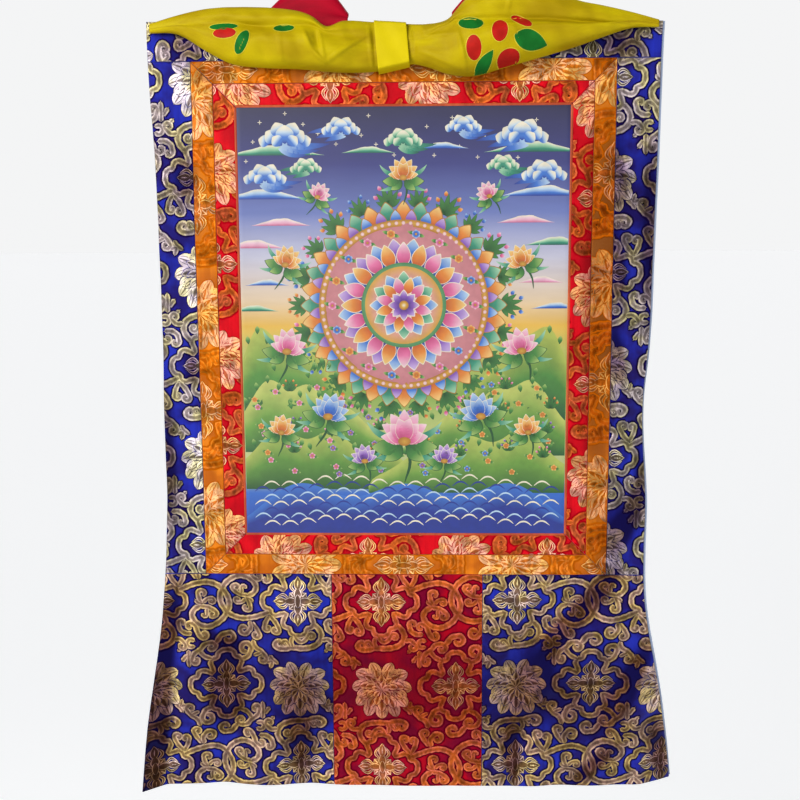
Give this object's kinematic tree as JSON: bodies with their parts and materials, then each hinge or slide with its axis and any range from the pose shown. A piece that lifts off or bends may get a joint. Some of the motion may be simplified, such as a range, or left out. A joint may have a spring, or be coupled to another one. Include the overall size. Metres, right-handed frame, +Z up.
{
  "type": "thangka scroll painting",
  "caption": "Hanging painted cloth in piped red and orange brocade borders on a blue brocade mount, lined, with a gathered yellow silk veil.",
  "frame": {"origin": "middle of the mount's top edge, by which it hangs", "axes": "+Z up, the painted face looks towards -Y, +X to the right of someone facing it"},
  "size_m": [0.6115, 0.0671, 0.8942],
  "materials": {
    "painted_canvas": "matt painted cotton",
    "piping_silk": "satin",
    "red_brocade": "satin brocade",
    "orange_brocade": "satin brocade",
    "blue_brocade": "satin brocade with metal thread",
    "crimson_brocade": "satin brocade",
    "lining_cotton": "plain cotton",
    "yellow_silk": "sheer silk",
    "red_silk": "satin silk"
  },
  "bodies": {
    "root": {"painting": "painted_canvas", "piping_top": "piping_silk", "piping_bottom": "piping_silk", "piping_left": "piping_silk", "piping_right": "piping_silk", "red_top": "red_brocade", "red_bottom": "red_brocade", "red_left": "red_brocade", "red_right": "red_brocade", "orange_top": "orange_brocade", "orange_bottom": "orange_brocade", "orange_left": "orange_brocade", "orange_right": "orange_brocade", "blue_top": "blue_brocade", "blue_left": "blue_brocade", "blue_right": "blue_brocade", "lower_left": "blue_brocade", "lower_centre": "crimson_brocade", "lower_right": "blue_brocade", "lining": "lining_cotton", "veil": "yellow_silk", "veil_band": "yellow_silk", "streamer_left": "red_silk", "streamer_right": "red_silk"}
  },
  "joints": []
}
